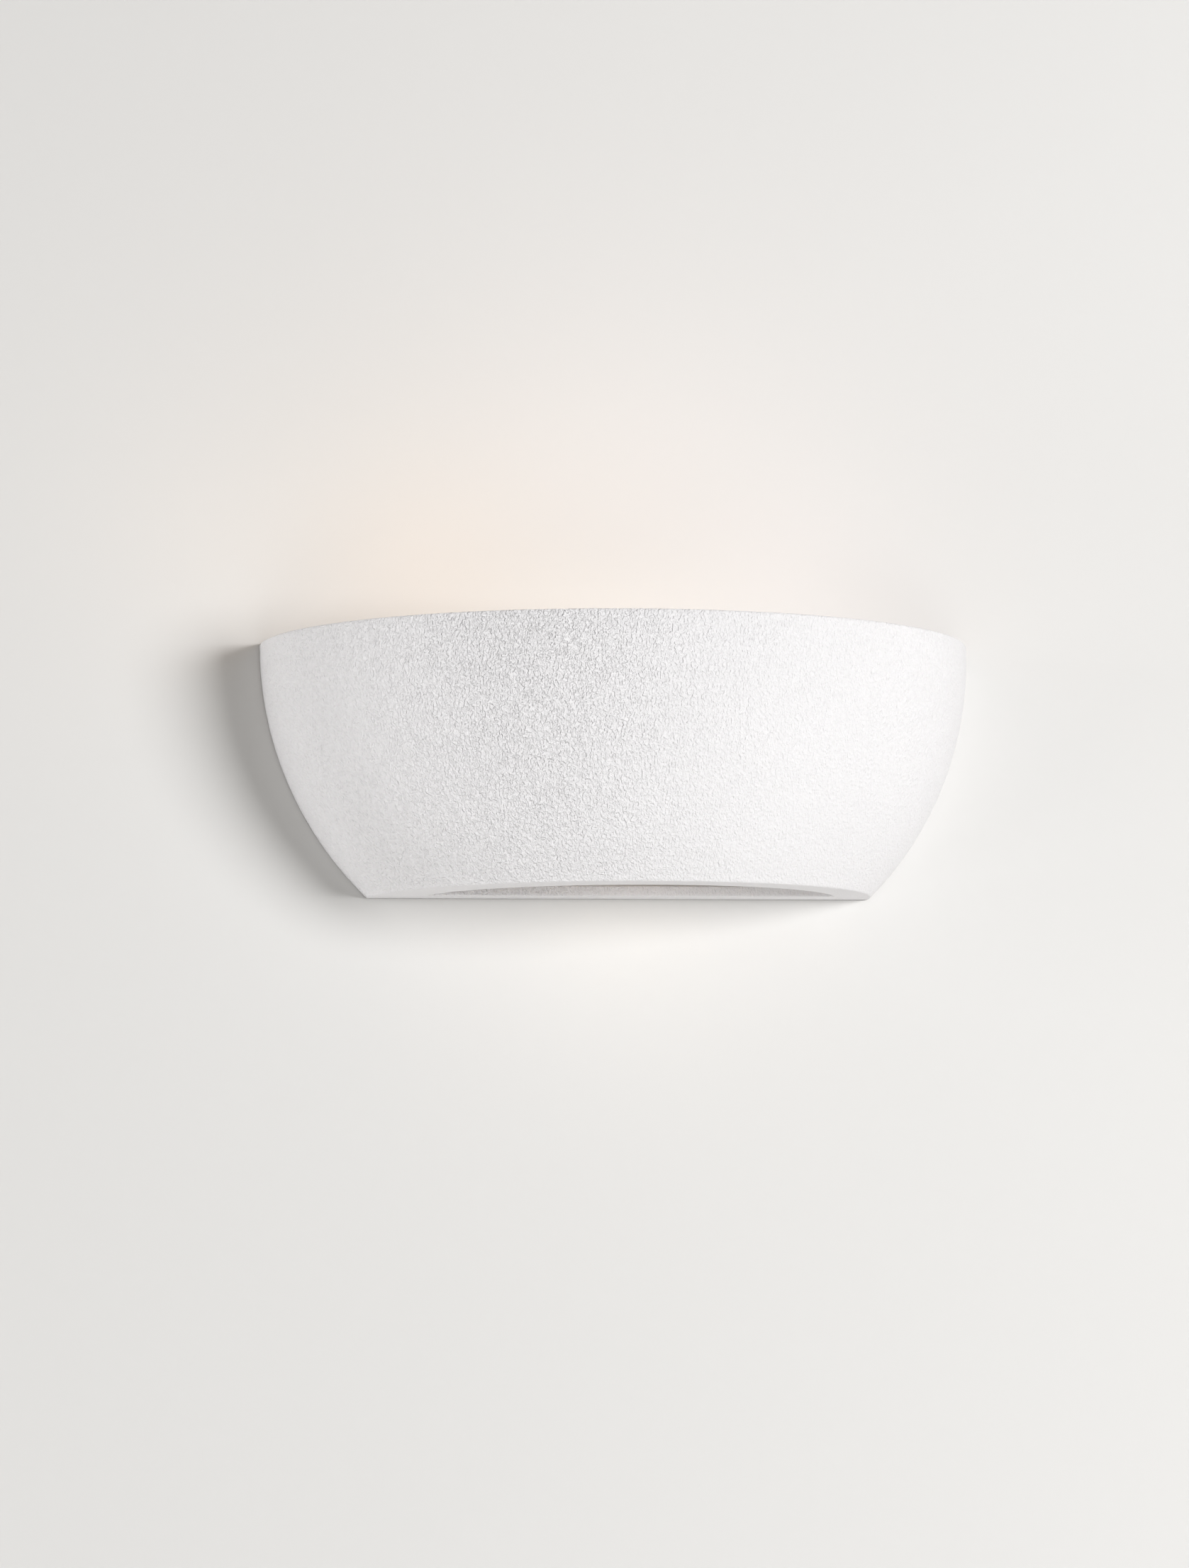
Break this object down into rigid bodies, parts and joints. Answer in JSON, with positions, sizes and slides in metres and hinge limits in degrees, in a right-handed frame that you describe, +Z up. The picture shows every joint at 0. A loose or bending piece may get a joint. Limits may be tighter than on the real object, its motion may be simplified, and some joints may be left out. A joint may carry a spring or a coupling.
{
  "type": "wall uplighter",
  "caption": "Half-bowl ceramic wall uplighter with a slotted floor, hung by a strap on a steel bracket that holds a linear lamp, its sprung lampholders and a reflector.",
  "frame": {"origin": "middle of the two wall screws, on the back face of the bracket's plate", "axes": "+X along the wall to the right as seen from the room, +Y into the wall, +Z up"},
  "size_m": [0.34, 0.115, 0.12],
  "materials": {
    "shade_ceramic": "matt white, fine sandy face outside, smooth inside and underneath",
    "white_sheet": "white powder coat, satin",
    "strap_steel": "zinc-plated strip, satin",
    "zinc_steel": "bright zinc plate",
    "clamp_steel": "nickel plate, knurled",
    "spring_steel": "drawn spring wire",
    "reflector_sheet": "bright rolled sheet, faintly hammered",
    "rivet_aluminium": "plain",
    "steatite": "unglazed cream steatite",
    "cap_ceramic": "unglazed white",
    "lamp_glass": "clear quartz",
    "filament_wire": "drawn tungsten",
    "contact_metal": "nickel-washed brass",
    "brass": "turned",
    "tinned_tag": "tinned",
    "block_nylon": "natural nylon",
    "bush_nylon": "black nylon",
    "grommet_rubber": "soft, matt",
    "live_sleeve": "brown silicone sleeve",
    "neutral_sleeve": "blue silicone sleeve",
    "earth_sleeve": "green sleeve with a yellow stripe"
  },
  "bodies": {
    "bracket": {"wall_bracket": "white_sheet", "cable_grommet": "grommet_rubber", "terminal_housing": "block_nylon", "terminal_inserts": "brass", "terminal_screws": "zinc_steel", "terminal_fixing_screw": "zinc_steel", "earth_stud": "zinc_steel", "earth_tag": "tinned_tag", "earth_washer": "zinc_steel", "earth_nut": "zinc_steel", "earth_wire": "earth_sleeve", "live_wire": "live_sleeve", "neutral_wire": "neutral_sleeve", "wire_bushes": "bush_nylon", "reflector": "reflector_sheet", "reflector_rivets": "rivet_aluminium", "fixed_holder": "steatite", "sprung_holder": "steatite", "holder_screws": "zinc_steel", "holder_nuts": "zinc_steel", "rear_insulators": "steatite", "fixed_contact": "contact_metal", "rear_terminal": "contact_metal", "contact_spring": "spring_steel"},
    "plunger": {"contact_plunger": "contact_metal"},
    "lamp": {"lamp_tube": "lamp_glass", "lamp_caps": "cap_ceramic", "lamp_contacts": "contact_metal", "lamp_filament": "filament_wire"},
    "shade": {"shade": "shade_ceramic", "hanging_strap": "strap_steel", "strap_inserts": "brass", "strap_screws": "zinc_steel", "clamp_nut": "zinc_steel"},
    "clamp": {"clamp_screw": "clamp_steel"}
  },
  "joints": [
    {"name": "shade_lift", "type": "slide", "parent": "bracket", "child": "shade", "axis": [0, 0, 1], "range_m": [0, 0.008]},
    {"name": "clamp_back_out", "type": "slide", "parent": "shade", "child": "clamp", "axis": [0, -1, 0], "range_m": [0, 0.005]},
    {"name": "lamp_shift", "type": "slide", "parent": "bracket", "child": "lamp", "axis": [1, 0, 0], "range_m": [0, 0.004]},
    {"name": "contact_plunge", "type": "slide", "parent": "bracket", "child": "plunger", "axis": [1, 0, 0], "range_m": [0, 0.004], "stiffness_N_per_m": 1200, "springref_m": -0.002, "deforming": ["contact_spring"]}
  ],
  "couplings": [
    {"joint": "contact_plunge", "follows": "lamp_shift", "ratio": 1}
  ]
}
